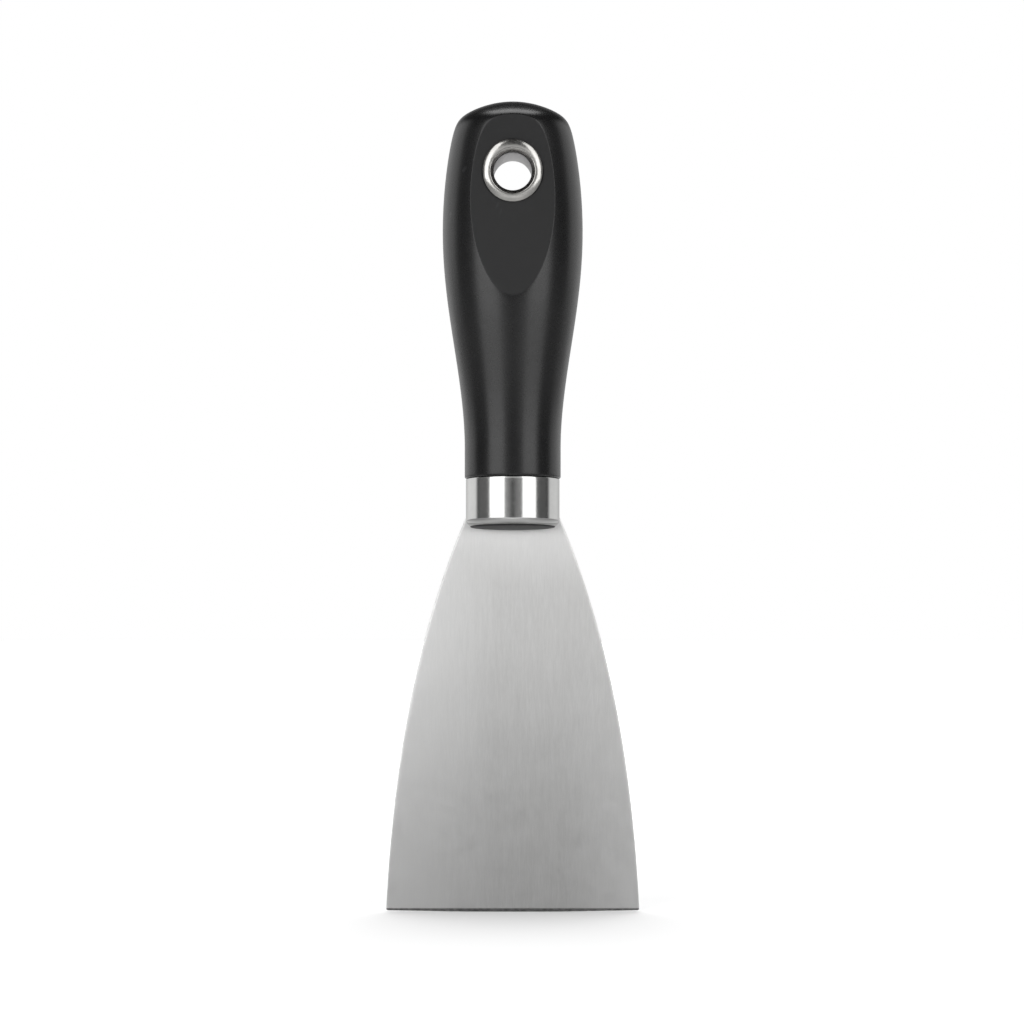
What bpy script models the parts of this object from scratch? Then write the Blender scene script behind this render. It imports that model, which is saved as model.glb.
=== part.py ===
"""Hand scraper: a flared steel blade in a moulded handle, with a ferrule and a hanging eyelet.

Units are metres. Z points up along the handle, with the butt at the top and the working edge at
the bottom, as the tool hangs on a hook. X runs across the blade, and the two flat faces look along
-Y (front) and +Y (back). The origin is the centre of the hanging eyelet.
"""

import math

import bmesh
import bpy
import numpy as np
from mathutils import Matrix

# Room that is left wherever two pieces meet
FIT_GAP = 0.0003

# Handle, measured down from the top of its butt
HANDLE_LENGTH = 0.0900
BUTT_WIDTH = 0.0250
BUTT_DEPTH = 0.0232
CROWN_RADIUS_ACROSS = 0.0212
CROWN_RADIUS_THROUGH = 0.0182
BUTT_CORNER_SHARPNESS = 9.6
BELLY_WIDTH = 0.0333
BELLY_DEPTH = 0.0291
BELLY_DROP = 0.0311
NECK_LENGTH = 0.0076
WAIST_FULLNESS = 0.91
FOOT_STEP = 0.0004
FOOT_ROUND = 0.0005

# Thumb flats: parallel near the butt, then scooped outwards until they run out on the belly
THUMB_FLAT_THICKNESS = 0.0220
THUMB_FLAT_STRAIGHT = 0.0100
THUMB_SCOOP_RADIUS = 0.2400

# Hanging eyelet
EYELET_DROP = 0.0177
EYELET_BORE = 0.0091
EYELET_WALL = 0.0005
EYELET_BEAD_WIDTH = 0.0026
EYELET_BEAD_CROWN = 0.0010
EYELET_BEAD_RIM = 0.0003
EYELET_SEAT_DEPTH = 0.0001

# Ferrule
FERRULE_DIAMETER = 0.0220
FERRULE_WALL = 0.0006
FERRULE_SHOWN = 0.0115
FERRULE_LIP_RADIUS = 0.0017
FERRULE_LIP_REACH = 0.0009
NOSE_RISE = 0.00075

# Blade
BLADE_SHOWN = 0.0913
BLADE_EDGE_WIDTH = 0.0600
BLADE_ROOT_THICKNESS = 0.0013
BLADE_EDGE_THICKNESS = 0.0007
BLADE_SIDE_ROUND = 0.00025
GRIND_START_DROP = 0.0020
SHOULDER_SEAT = 0.0022
SHOULDER_FILLET = 0.0020
FLARE_AT_ROOT = math.radians(23.0)
FLARE_AT_EDGE = math.radians(3.8)
EDGE_BOW = 0.0003
EDGE_BEVEL_HEIGHT = 0.0004
EDGE_LAND = 0.0003
EDGE_CORNER_RADIUS = 0.0005
TANG_WIDTH = 0.0140
TANG_LENGTH = 0.0480
TANG_TIP_ROUND = 0.0020
LOCK_HOLE_DIAMETER = 0.0060
LOCK_HOLE_FROM_TIP = 0.0100
LOCK_HOLE_SPACING = 0.0180

# How finely the curved forms are divided, and the turn that an edge may have and still look round
SMOOTH_LIMIT = math.radians(24)
ROUND_STEPS = 4
HANDLE_SIDES = 56
CROWN_RINGS = 13
FLANK_RINGS = 25
NOSE_RINGS = 6
SCOOP_STEPS = 14
EYELET_SIDES = 40
BEAD_STEPS = 8
FERRULE_SIDES = 64
LIP_STEPS = 6
BLADE_COLUMNS = 12
BLADE_ROWS = 20
HOLE_SIDES = 24

# Heights and radii that several pieces share
BUTT_TOP = EYELET_DROP
NECK_DROP = HANDLE_LENGTH - NECK_LENGTH
NECK_RADIUS = FERRULE_DIAMETER / 2 + FOOT_STEP
FOOT = BUTT_TOP - HANDLE_LENGTH
MOUTH = FOOT - FERRULE_SHOWN
MOUTH_RADIUS = FERRULE_DIAMETER / 2 - FERRULE_LIP_REACH
LIP_CENTRE = (FERRULE_DIAMETER / 2 - FERRULE_LIP_RADIUS, MOUTH + FERRULE_LIP_RADIUS)
EDGE = MOUTH - BLADE_SHOWN
BEVEL_TOP = EDGE + EDGE_BOW + EDGE_BEVEL_HEIGHT
GRIND_START = MOUTH - GRIND_START_DROP
SHOULDER = MOUTH + SHOULDER_SEAT
SHOULDER_HALF_WIDTH = FERRULE_DIAMETER / 2
TANG_TIP = SHOULDER + TANG_LENGTH
EYELET_TUBE_RADIUS = EYELET_BORE / 2 + EYELET_WALL
EYELET_RIM_RADIUS = EYELET_BORE / 2 + EYELET_BEAD_WIDTH
SEAT_FACE = THUMB_FLAT_THICKNESS / 2 - EYELET_SEAT_DEPTH


def clear_scene():
    for obj in list(bpy.data.objects):
        bpy.data.objects.remove(obj, do_unlink=True)


def make_material(name, colour, roughness, metallic):
    material = bpy.data.materials.new(name)
    material.use_nodes = True
    shader = material.node_tree.nodes["Principled BSDF"]
    shader.inputs["Base Color"].default_value = (*colour, 1.0)
    shader.inputs["Roughness"].default_value = roughness
    shader.inputs["Metallic"].default_value = metallic
    return material


def add_object(name, bm, material=None):
    """Turns the bmesh into a named object that is shaded smooth, apart from its sharp edges."""
    bmesh.ops.recalc_face_normals(bm, faces=bm.faces)
    mesh = bpy.data.meshes.new(name)
    bm.to_mesh(mesh)
    bm.free()
    mesh.shade_smooth()
    mesh.set_sharp_from_angle(angle=SMOOTH_LIMIT)
    obj = bpy.data.objects.new(name, mesh)
    bpy.context.scene.collection.objects.link(obj)
    if material:
        mesh.materials.append(material)
    return obj


def as_cutter(obj):
    obj.hide_render = True
    obj.display_type = "WIRE"
    return obj


def cut(target, cutter, name):
    modifier = target.modifiers.new(name, "BOOLEAN")
    modifier.operation = "DIFFERENCE"
    modifier.solver = "EXACT"
    modifier.object = cutter


def apply_cuts(obj):
    """Makes the cuts permanent, so that the edges which they leave are marked sharp too."""
    graph = bpy.context.evaluated_depsgraph_get()
    mesh = bpy.data.meshes.new_from_object(obj.evaluated_get(graph))
    obj.modifiers.clear()
    obj.data = mesh
    mesh.set_sharp_from_angle(angle=SMOOTH_LIMIT)


def loft(name, rings, material=None):
    """Skins a row of rings that have the same number of points, and closes both ends."""
    bm = bmesh.new()
    loops = [[bm.verts.new(point) for point in ring] for ring in rings]
    count = len(loops[0])
    for upper, lower in zip(loops, loops[1:]):
        for i in range(count):
            j = (i + 1) % count
            bm.faces.new((upper[i], upper[j], lower[j], lower[i]))
    bm.faces.new(loops[0])
    bm.faces.new(reversed(loops[-1]))
    return add_object(name, bm, material)


def turn(name, profile, axis, sides, material=None):
    """Spins a closed profile of (radius, distance along the axis) points round the Z or Y axis."""
    bm = bmesh.new()
    if axis == "Z":
        points = [(radius, 0.0, along) for radius, along in profile]
        direction = (0.0, 0.0, 1.0)
    else:
        points = [(radius, along, 0.0) for radius, along in profile]
        direction = (0.0, 1.0, 0.0)
    verts = [bm.verts.new(point) for point in points]
    edges = [bm.edges.new(ends) for ends in zip(verts, verts[1:] + verts[:1])]
    bmesh.ops.spin(
        bm, geom=verts + edges, axis=direction, cent=(0.0, 0.0, 0.0),
        angle=2 * math.pi, steps=sides, use_merge=True,
    )
    bmesh.ops.remove_doubles(bm, verts=bm.verts, dist=1e-6)
    return add_object(name, bm, material)


def arc(centre, radius, start, end, steps):
    """Points on an arc of a (radius, height) profile, between two angles in radians."""
    angles = np.linspace(start, end, steps + 1)
    return [(centre[0] + radius * math.cos(a), centre[1] + radius * math.sin(a)) for a in angles]


def handle_half_size(drop, butt, belly, crown_radius):
    """Half width or half depth of the handle at each drop below the top of the butt.

    The flank swells on a parabola from the butt to the belly, and falls to the neck on a raised
    cosine. The crown is a parabola with a round top of the given radius. A power mean joins the
    crown and the flank in a rounded corner.
    """
    swell = butt / 2 + (belly - butt) / 2 * (1 - (1 - drop / BELLY_DROP) ** 2)
    along = np.clip((drop - BELLY_DROP) / (NECK_DROP - BELLY_DROP), 0, 1)
    wave = (0.5 + 0.5 * np.cos(math.pi * along)) ** WAIST_FULLNESS
    waist = NECK_RADIUS + (belly / 2 - NECK_RADIUS) * wave
    flank = np.where(drop < BELLY_DROP, swell, waist)
    crown = np.sqrt(2 * crown_radius * drop)
    power = BUTT_CORNER_SHARPNESS
    return (crown**-power + flank**-power) ** (-1 / power)


def oval_ring(half_width, half_depth, height):
    angles = np.linspace(0, 2 * math.pi, HANDLE_SIDES, endpoint=False)
    return [(half_width * math.cos(a), half_depth * math.sin(a), height) for a in angles]


def grip_rings():
    """Rings from the top of the butt to the neck, closer together on the crown."""
    crown_drops = BELLY_DROP / 4 * np.linspace(1 / CROWN_RINGS, 1, CROWN_RINGS) ** 2
    flank_drops = np.linspace(crown_drops[-1], NECK_DROP, FLANK_RINGS + 1)[1:]
    drops = np.concatenate([crown_drops, flank_drops])
    widths = handle_half_size(drops, BUTT_WIDTH, BELLY_WIDTH, CROWN_RADIUS_ACROSS)
    depths = handle_half_size(drops, BUTT_DEPTH, BELLY_DEPTH, CROWN_RADIUS_THROUGH)
    return [oval_ring(w, d, BUTT_TOP - drop) for w, d, drop in zip(widths, depths, drops)]


def foot_and_nose_rings():
    """Round rings of the foot, the spigot inside the ferrule and the domed nose in its mouth."""
    spigot = FERRULE_DIAMETER / 2 - FERRULE_WALL - FIT_GAP
    nose = MOUTH_RADIUS - FIT_GAP
    curl = FERRULE_LIP_RADIUS - FERRULE_WALL - FIT_GAP
    curl_end = -math.acos((nose - LIP_CENTRE[0]) / curl)
    foot_centre = (NECK_RADIUS - FOOT_ROUND, FOOT + FOOT_ROUND)
    profile = arc(foot_centre, FOOT_ROUND, 0, -math.pi / 2, ROUND_STEPS)
    profile.append((spigot, FOOT))
    profile += arc(LIP_CENTRE, curl, 0, curl_end, ROUND_STEPS)
    for share in np.linspace(1, 0, NOSE_RINGS + 1)[:-1]:
        profile.append((nose * share, MOUTH - NOSE_RISE * math.sqrt(1 - share**2)))
    return [oval_ring(radius, radius, height) for radius, height in profile]


def thumb_flat_cutter(name, side):
    """A block whose inner face is parallel to the handle, then curves outwards on a long arc."""
    start = THUMB_FLAT_THICKNESS / 2
    straight_end = BUTT_TOP - THUMB_FLAT_STRAIGHT
    run = math.asin((NECK_DROP - THUMB_FLAT_STRAIGHT) / THUMB_SCOOP_RADIUS)
    outline = [(start, BUTT_TOP + BELLY_DEPTH)]
    for angle in np.linspace(0, run, SCOOP_STEPS):
        outward = start + THUMB_SCOOP_RADIUS * (1 - math.cos(angle))
        outline.append((outward, straight_end - THUMB_SCOOP_RADIUS * math.sin(angle)))
    far = outline[-1][0] + BELLY_DEPTH
    outline.append((far, outline[-1][1]))
    outline.append((far, BUTT_TOP + BELLY_DEPTH))
    rings = [[(x, side * y, z) for y, z in outline] for x in (-BELLY_WIDTH, BELLY_WIDTH)]
    return as_cutter(loft(name, rings))


def eyelet_room():
    """The bore for the eyelet, opened out at both ends into shallow seats for its beads."""
    bore = EYELET_TUBE_RADIUS + FIT_GAP
    seat = EYELET_RIM_RADIUS + FIT_GAP
    far = SEAT_FACE + BELLY_DEPTH
    outline = [(seat, -far), (seat, -SEAT_FACE), (bore, -SEAT_FACE)]
    outline += [(bore, SEAT_FACE), (seat, SEAT_FACE), (seat, far)]
    angles = np.linspace(0, 2 * math.pi, EYELET_SIDES, endpoint=False)
    rings = []
    for radius, along in outline:
        rings.append([(radius * math.cos(a), along, radius * math.sin(a)) for a in angles])
    return as_cutter(loft("eyelet_room", rings))


def blade_half_width(height):
    """Half width of the blade: a curve whose two end slopes are the flare at the root and edge.

    It is the quadratic curve from the shoulder to the corner, whose middle control point is where
    the two end tangents cross. Its parameter is solved from the height.
    """
    corner = BLADE_EDGE_WIDTH / 2
    length = SHOULDER - EDGE
    slope_root = math.tan(FLARE_AT_ROOT)
    slope_edge = math.tan(FLARE_AT_EDGE)
    rise = corner - slope_edge * length - SHOULDER_HALF_WIDTH
    control = rise / (slope_root - slope_edge)
    control_width = SHOULDER_HALF_WIDTH + slope_root * control
    down = SHOULDER - height
    share = down / (control + math.sqrt(control**2 + (length - 2 * control) * down))
    start_pull = (1 - share) ** 2 * SHOULDER_HALF_WIDTH
    return start_pull + 2 * share * (1 - share) * control_width + share**2 * corner


def blade_half_thickness(height):
    """Half thickness: even down to the start of the grind, then thinning evenly to the edge."""
    ground = min(1.0, max(0.0, (GRIND_START - height) / (GRIND_START - EDGE)))
    return (BLADE_ROOT_THICKNESS + (BLADE_EDGE_THICKNESS - BLADE_ROOT_THICKNESS) * ground) / 2


def plate_ring(half_width, half_thickness, height, bow=0.0):
    """A thin rectangle with broken corners, its points spread along the front and the back."""
    side = min(BLADE_SIDE_ROUND, 0.8 * half_thickness)
    shares = np.linspace(-1, 1, BLADE_COLUMNS + 1)
    front = []
    for share in shares:
        x = share * (half_width - side)
        front.append((x, -half_thickness, height - bow * (1 - share**2)))
    back = [(x, half_thickness, z) for x, _, z in reversed(front)]
    right = [(half_width, y, height) for y in (side - half_thickness, half_thickness - side)]
    left = [(-half_width, -y, z) for _, y, z in right]
    return front + right + back + left


def blade_rings(grow):
    """Rings from the tip of the tang to the working edge, grown by the room that a slot needs."""
    tang = TANG_WIDTH / 2 + grow
    shoulder = SHOULDER_HALF_WIDTH + grow
    thick = BLADE_ROOT_THICKNESS / 2 + grow
    rings = []
    for angle in np.linspace(math.pi / 2, 0, ROUND_STEPS + 1):
        height = TANG_TIP + grow - TANG_TIP_ROUND * (1 - math.sin(angle))
        rings.append(plate_ring(tang - TANG_TIP_ROUND * (1 - math.cos(angle)), thick, height))
    for angle in np.linspace(0, math.pi / 2, ROUND_STEPS + 1):
        height = SHOULDER + grow + SHOULDER_FILLET * (1 - math.sin(angle))
        rings.append(plate_ring(shoulder - (shoulder - tang) * math.cos(angle), thick, height))
    rings.append(plate_ring(blade_half_width(GRIND_START) + grow, thick, GRIND_START))
    for height in np.linspace(GRIND_START, BEVEL_TOP, BLADE_ROWS + 1)[1:]:
        thick = blade_half_thickness(height) + grow
        rings.append(plate_ring(blade_half_width(height) + grow, thick, height))
    return rings


def edge_rings():
    """The bowed bottom of the blade: a small bevel on both faces and a narrow flat land."""
    rings = []
    for share in np.linspace(0, 1, ROUND_STEPS + 1)[1:]:
        height = BEVEL_TOP - EDGE_BEVEL_HEIGHT * share
        full = blade_half_thickness(height)
        thick = full + (EDGE_LAND / 2 - full) * share
        corner = EDGE_CORNER_RADIUS * (1 - math.sqrt(1 - share**2))
        rings.append(plate_ring(blade_half_width(height) - corner, thick, height, EDGE_BOW * share))
    return rings


def lock_pin(name, height, diameter):
    """A round bar across the tang, for a lock hole or for the room round a peg of the handle."""
    bm = bmesh.new()
    bmesh.ops.create_cone(
        bm, cap_ends=True, segments=HOLE_SIDES, radius1=diameter / 2, radius2=diameter / 2,
        depth=2 * (BLADE_ROOT_THICKNESS + 2 * FIT_GAP),
    )
    bmesh.ops.rotate(bm, verts=bm.verts, matrix=Matrix.Rotation(math.pi / 2, 3, "X"))
    bmesh.ops.translate(bm, verts=bm.verts, vec=(0.0, 0.0, height))
    return as_cutter(add_object(name, bm))


def cut_lock_holes(target, name, diameter):
    top = TANG_TIP - LOCK_HOLE_FROM_TIP
    for number, height in enumerate((top, top - LOCK_HOLE_SPACING), 1):
        cut(target, lock_pin(f"{name}_{number}", height, diameter), f"{name} {number}")


def make_blade(material):
    blade = loft("blade", blade_rings(0.0) + edge_rings(), material)
    cut_lock_holes(blade, "lock_hole", LOCK_HOLE_DIAMETER)
    apply_cuts(blade)


def blade_room():
    """The space that the blade takes in the handle and the ferrule, with the pegs left standing."""
    room = loft("blade_room", blade_rings(FIT_GAP))
    cut_lock_holes(room, "peg", LOCK_HOLE_DIAMETER - 2 * FIT_GAP)
    return as_cutter(room)


def make_handle(material, room):
    """One moulding: grip, foot, spigot and nose, less the thumb flats, the bore and the slot."""
    handle = loft("handle", grip_rings() + foot_and_nose_rings(), material)
    cut(handle, thumb_flat_cutter("front_flat", -1), "front thumb flat")
    cut(handle, thumb_flat_cutter("back_flat", 1), "back thumb flat")
    cut(handle, eyelet_room(), "eyelet bore and seats")
    cut(handle, room, "tang slot")
    apply_cuts(handle)


def make_ferrule(material, room):
    """A drawn ring: straight wall, lower end curled in to the mouth, and slits for the blade."""
    outer = FERRULE_DIAMETER / 2
    inner = outer - FERRULE_WALL
    inner_curl = FERRULE_LIP_RADIUS - FERRULE_WALL
    outer_end = -math.acos((MOUTH_RADIUS - LIP_CENTRE[0]) / FERRULE_LIP_RADIUS)
    inner_end = -math.acos((MOUTH_RADIUS - LIP_CENTRE[0]) / inner_curl)
    top = FOOT - FIT_GAP
    edge_break = FERRULE_WALL / 4
    profile = [(inner, top), (outer - edge_break, top), (outer, top - edge_break)]
    profile += arc(LIP_CENTRE, FERRULE_LIP_RADIUS, 0, outer_end, LIP_STEPS)
    profile += arc(LIP_CENTRE, inner_curl, inner_end, 0, ROUND_STEPS)
    ferrule = turn("ferrule", profile, "Z", FERRULE_SIDES, material)
    cut(ferrule, room, "blade slits")
    apply_cuts(ferrule)


def bead_profile(side):
    """Half ellipse from the mouth of the bore, over the crest, to the outer rim of one bead."""
    half = EYELET_BEAD_WIDTH / 2
    middle = EYELET_BORE / 2 + half
    base = SEAT_FACE + FIT_GAP + EYELET_BEAD_RIM
    points = []
    for angle in np.linspace(math.pi, 0, BEAD_STEPS + 1):
        rise = EYELET_BEAD_CROWN * math.sin(angle)
        points.append((middle + half * math.cos(angle), side * (base + rise)))
    return points


def make_eyelet(material):
    """A tube whose two ends are rolled over into round beads that sit in the seats."""
    under = SEAT_FACE + FIT_GAP
    lower_rim = EYELET_RIM_RADIUS - EYELET_BEAD_RIM / 2
    stem = [(lower_rim, -under), (EYELET_TUBE_RADIUS, -under)]
    stem += [(EYELET_TUBE_RADIUS, under), (lower_rim, under)]
    profile = bead_profile(-1) + stem + bead_profile(1)[::-1]
    turn("hanging_eyelet", profile, "Y", EYELET_SIDES, material)


def build():
    clear_scene()
    steel = make_material("brushed_blade_steel", (0.58, 0.58, 0.57), 0.34, 1.0)
    plastic = make_material("black_satin_plastic", (0.022, 0.022, 0.023), 0.36, 0.0)
    plating = make_material("polished_ferrule_plating", (0.80, 0.80, 0.78), 0.10, 1.0)
    nickel = make_material("eyelet_nickel", (0.74, 0.73, 0.70), 0.20, 1.0)
    room = blade_room()
    make_blade(steel)
    make_handle(plastic, room)
    make_ferrule(plating, room)
    make_eyelet(nickel)


build()
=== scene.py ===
# %% [markdown]
# # A stripping knife, dressed for its picture
#
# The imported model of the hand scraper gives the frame: four bodies of metal and plastic, in metres,
# with the centre of the hanging eyelet at the origin and Z up along the handle. This lesson builds
# the surfaces that the eye sees round that frame, gives each one its finish, and lights them like a
# small product on a white table. The frame is loaded first, and nothing else is read.

# %% Load the frame
import math

import bmesh
import bpy
import numpy as np
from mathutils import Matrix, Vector


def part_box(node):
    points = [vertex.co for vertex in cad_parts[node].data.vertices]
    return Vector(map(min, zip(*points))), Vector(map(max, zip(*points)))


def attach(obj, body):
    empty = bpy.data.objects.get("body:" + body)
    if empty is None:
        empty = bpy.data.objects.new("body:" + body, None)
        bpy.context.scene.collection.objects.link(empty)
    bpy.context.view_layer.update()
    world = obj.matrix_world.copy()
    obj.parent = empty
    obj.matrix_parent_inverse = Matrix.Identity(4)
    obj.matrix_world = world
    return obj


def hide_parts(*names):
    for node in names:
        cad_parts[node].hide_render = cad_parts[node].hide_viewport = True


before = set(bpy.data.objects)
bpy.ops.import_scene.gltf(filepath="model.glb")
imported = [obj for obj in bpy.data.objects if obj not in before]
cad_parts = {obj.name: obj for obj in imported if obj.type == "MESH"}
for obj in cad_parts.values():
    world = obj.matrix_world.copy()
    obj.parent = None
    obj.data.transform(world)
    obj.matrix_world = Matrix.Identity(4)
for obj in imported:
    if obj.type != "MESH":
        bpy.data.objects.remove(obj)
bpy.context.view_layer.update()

# %% [markdown]
# ## The sizes that the pieces share
#
# A knife like this is four pieces that hold each other: the blade's tang sits in the handle, the
# ferrule is pressed over the handle's end and closes on the blade's shoulders, and the eyelet lines
# the hole at the butt. The heights and widths come from the boxes of the four solids, so each new
# surface lies where its solid is. The frame leaves 0.3 mm between solids. The real pieces touch,
# so the surfaces here leave a seam of only 0.05 mm.

# %% Heights and widths
FRAME_GAP = 0.0003
SEAM = 0.00005
TINY = 1e-9
FERRULE_SHOWN, SHOULDER_SEAT = 0.0115, 0.0022
RADIUS_OVER_SOLID, LIP_REACH = 0.00012, 0.0010

_, handle_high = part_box("handle")
blade_low, blade_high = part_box("blade")
_, ferrule_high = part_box("ferrule")
_, eyelet_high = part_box("hanging_eyelet")

BUTT_TOP = handle_high.z
FOOT = ferrule_high.z + FRAME_GAP
MOUTH = FOOT - FERRULE_SHOWN
EDGE = blade_low.z
TANG_TIP = blade_high.z
SHOULDER = MOUTH + SHOULDER_SEAT
FERRULE_RADIUS = ferrule_high.x + RADIUS_OVER_SOLID
FERRULE_WALL = 0.0006
LIP_RADIUS = 0.0017
MOUTH_RADIUS = FERRULE_RADIUS - LIP_REACH
TUBE_RADIUS = 0.00505
ROOT_THICKNESS = 0.0013
BELLY_HALF_WIDTH = handle_high.x
print("butt, foot, mouth, edge, mm:", [round(h * 1000, 2) for h in (BUTT_TOP, FOOT, MOUTH, EDGE)])

# %% [markdown]
# ## From a grid of points to a piece
#
# Every piece here is a surface worked out with numpy: whole arrays of points, and quads that join
# neighbours in the grid. Two helpers do the joining. One lists the quads of a grid, closed round
# when the last column meets the first. The other puts the arrays into a mesh, merges the points
# that meet in seams and poles, and turns all faces outwards.

# %% Grid and mesh helpers
MERGE_DISTANCE, SHORTEST_EDGE = 5e-7, 1e-7
SHARP_ANGLE = math.radians(30)


def grid_quads(rows, columns, start=0, wrap_columns=True, wrap_rows=False):
    """Quads of a grid of rows x columns points, numbered row by row from start."""
    index = start + np.arange(rows * columns).reshape(rows, columns)
    if wrap_columns:
        index = np.hstack([index, index[:, :1]])
    if wrap_rows:
        index = np.vstack([index, index[:1]])
    corners = [index[:-1, :-1], index[:-1, 1:], index[1:, 1:], index[1:, :-1]]
    return np.stack(corners, -1).reshape(-1, 4)


def mesh_from_arrays(name, points, quads):
    """A mesh whose doubles are merged, whose faces look outwards, and that is shaded smooth."""
    mesh = bpy.data.meshes.new(name)
    mesh.vertices.add(len(points))
    mesh.vertices.foreach_set("co", points.astype(np.float32).ravel())
    mesh.loops.add(quads.size)
    mesh.loops.foreach_set("vertex_index", quads.astype(np.int32).ravel())
    mesh.polygons.add(len(quads))
    mesh.polygons.foreach_set("loop_start", np.arange(0, quads.size, 4, dtype=np.int32))
    mesh.update(calc_edges=True)
    bm = bmesh.new()
    bm.from_mesh(mesh)
    bmesh.ops.remove_doubles(bm, verts=bm.verts, dist=MERGE_DISTANCE)
    bmesh.ops.dissolve_degenerate(bm, edges=bm.edges, dist=SHORTEST_EDGE)
    bmesh.ops.recalc_face_normals(bm, faces=bm.faces)
    bm.to_mesh(mesh)
    bm.free()
    mesh.shade_smooth()
    return mesh


def add_piece(name, mesh, node):
    """Puts the mesh in the scene under the root body, in place of its solid of the frame, which it
    hides.
    """
    piece = bpy.data.objects.new(name, mesh)
    bpy.context.scene.collection.objects.link(piece)
    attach(piece, "root")
    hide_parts(node)
    triangles = sum(len(face.vertices) - 2 for face in mesh.polygons)
    print(f"{name}: {len(mesh.vertices)} points, {triangles} triangles")
    return piece


def arc(centre, radius, start, end, steps):
    """Points of an arc from one angle to another, in degrees: centre + radius (cos, sin)."""
    angles = np.radians(np.linspace(start, end, steps + 1))
    return np.stack([centre[0] + radius * np.cos(angles), centre[1] + radius * np.sin(angles)], -1)


def turned(profile, axis, sides):
    """A closed (radius, along) profile turned round an axis: radius times (cos, sin), and along."""
    radius, along = np.asarray(profile).T[:, :, None]
    angles = np.linspace(0, 2 * math.pi, sides, endpoint=False)[None, :]
    ring_x, ring_other = radius * np.cos(angles), radius * np.sin(angles)
    level = np.broadcast_to(along, ring_x.shape)
    order = (ring_x, ring_other, level) if axis == "Z" else (ring_x, level, ring_other)
    points = np.stack(order, -1).reshape(-1, 3)
    return points, grid_quads(len(profile), sides, wrap_rows=True)


# %% [markdown]
# ## The form of the handle
#
# The handle is one moulding: a domed butt, a round belly, and a long waist that narrows to a round
# neck. From the front its half width is a curve of the height, and from the side its half depth
# is the same curve with other end values, so every level of it is an ellipse. A thumb flat is
# scooped out of each face: parallel at the butt, then curving outwards on a long arc until it runs
# out on the belly. Its border is the line where the flat and the ellipse meet.

# %% Curves of the handle
BUTT_WIDTH, BUTT_DEPTH = 0.0250, 0.0232
BELLY_WIDTH, BELLY_DEPTH = 2 * BELLY_HALF_WIDTH, 0.0291
CROWN_ACROSS, CROWN_THROUGH = 0.0212, 0.0168
CORNER_SHARPNESS = 9.6
BELLY_DROP = 0.0311
NECK_DROP = 0.0824
FOOT_STEP = 0.00028
NECK_RADIUS = FERRULE_RADIUS + FOOT_STEP
WAIST_FULLNESS = 0.91
FLAT_HALF_THICKNESS = 0.0110
FLAT_STRAIGHT_TO = BUTT_TOP - 0.0100
SCOOP_RADIUS = 0.2400
BORDER_SOFTNESS, END_SOFTNESS = 0.00002, 0.00014
TIP_START, TIP_RUN = -0.018, 0.010
CROWN_DROP, CROWN_RUN = 0.0090, 0.006
BORDER_MASK_WIDTH = 0.00016


def half_size(z, butt, belly, crown_radius):
    """Half width or depth of the handle at a height: a parabola from butt to belly, a raised
    cosine from the belly to the neck, and sqrt(2 R drop) for the crown. A power mean joins them."""
    drop = np.clip(BUTT_TOP - z, TINY, None)
    swell = butt / 2 + (belly - butt) / 2 * (1 - (1 - drop / BELLY_DROP) ** 2)
    along = np.clip((drop - BELLY_DROP) / (NECK_DROP - BELLY_DROP), 0, 1)
    wave = (0.5 + 0.5 * np.cos(math.pi * along)) ** WAIST_FULLNESS
    flank = np.where(drop < BELLY_DROP, swell, NECK_RADIUS + (belly / 2 - NECK_RADIUS) * wave)
    crown = np.sqrt(2 * crown_radius * drop)
    return (crown**-CORNER_SHARPNESS + flank**-CORNER_SHARPNESS) ** (-1 / CORNER_SHARPNESS)


def half_width(z):
    """Half size across the handle."""
    return half_size(z, BUTT_WIDTH, BELLY_WIDTH, CROWN_ACROSS)


def half_depth(z):
    """Half size through the handle, from the middle plane to a face."""
    return half_size(z, BUTT_DEPTH, BELLY_DEPTH, CROWN_THROUGH)


def flat_depth(z):
    """Distance of the thumb flat from the middle plane: constant, then growing on an arc."""
    run = np.clip(FLAT_STRAIGHT_TO - z, 0, None)
    return FLAT_HALF_THICKNESS + SCOOP_RADIUS - np.sqrt(SCOOP_RADIUS**2 - run**2)


def oval_depth(x, z):
    """Depth of the ellipse b sqrt(1 - (x/a)^2) whose half axes a and b belong to the height."""
    across = np.clip(x / half_width(z), -1, 1)
    return half_depth(z) * np.sqrt(1 - across**2)


def face_depth(x, z):
    """The smaller of ellipse a and flat b, as (a + b - sqrt((a - b)^2 + s^2)) / 2. The softness s
    of the border grows towards the tip of the flat, and again under the crown."""
    oval, flat = oval_depth(x, z), flat_depth(z)
    at_tip = np.clip((TIP_START - z) / TIP_RUN, 0, 1)
    at_crown = np.clip((z - BUTT_TOP + CROWN_DROP) / CROWN_RUN, 0, 1)
    softness = BORDER_SOFTNESS + (END_SOFTNESS - BORDER_SOFTNESS) * (at_tip + at_crown)
    return (oval + flat - np.sqrt((oval - flat) ** 2 + softness**2)) / 2


# %% [markdown]
# ## The upper part of the handle, as a net round the eyelet
#
# A plain grid of rows would cross the border of the thumb flat at all angles and leave it ragged.
# So the upper part is a polar net instead: its rays start at the bore of the eyelet, and its rings
# are the seat of the eyelet, the border of the flat with close rings on both sides of it, and the
# outline. Each ray is solved for the distance at which it crosses the border.

# %% Outline and border of the upper part
SPLIT_HEIGHT = -0.0360
BORE_RADIUS = TUBE_RADIUS + SEAM
SEAT_ROOM, SEAT_DEPTH = 0.0001, 0.0001
SEAT_RADIUS = eyelet_high.x + SEAT_ROOM
SEAT_FACE = FLAT_HALF_THICKNESS - SEAT_DEPTH
OUTLINE_RAYS, BOTTOM_RAYS = 264, 64
OUTLINE_SAMPLES, BISECTIONS = 20001, 50


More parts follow.
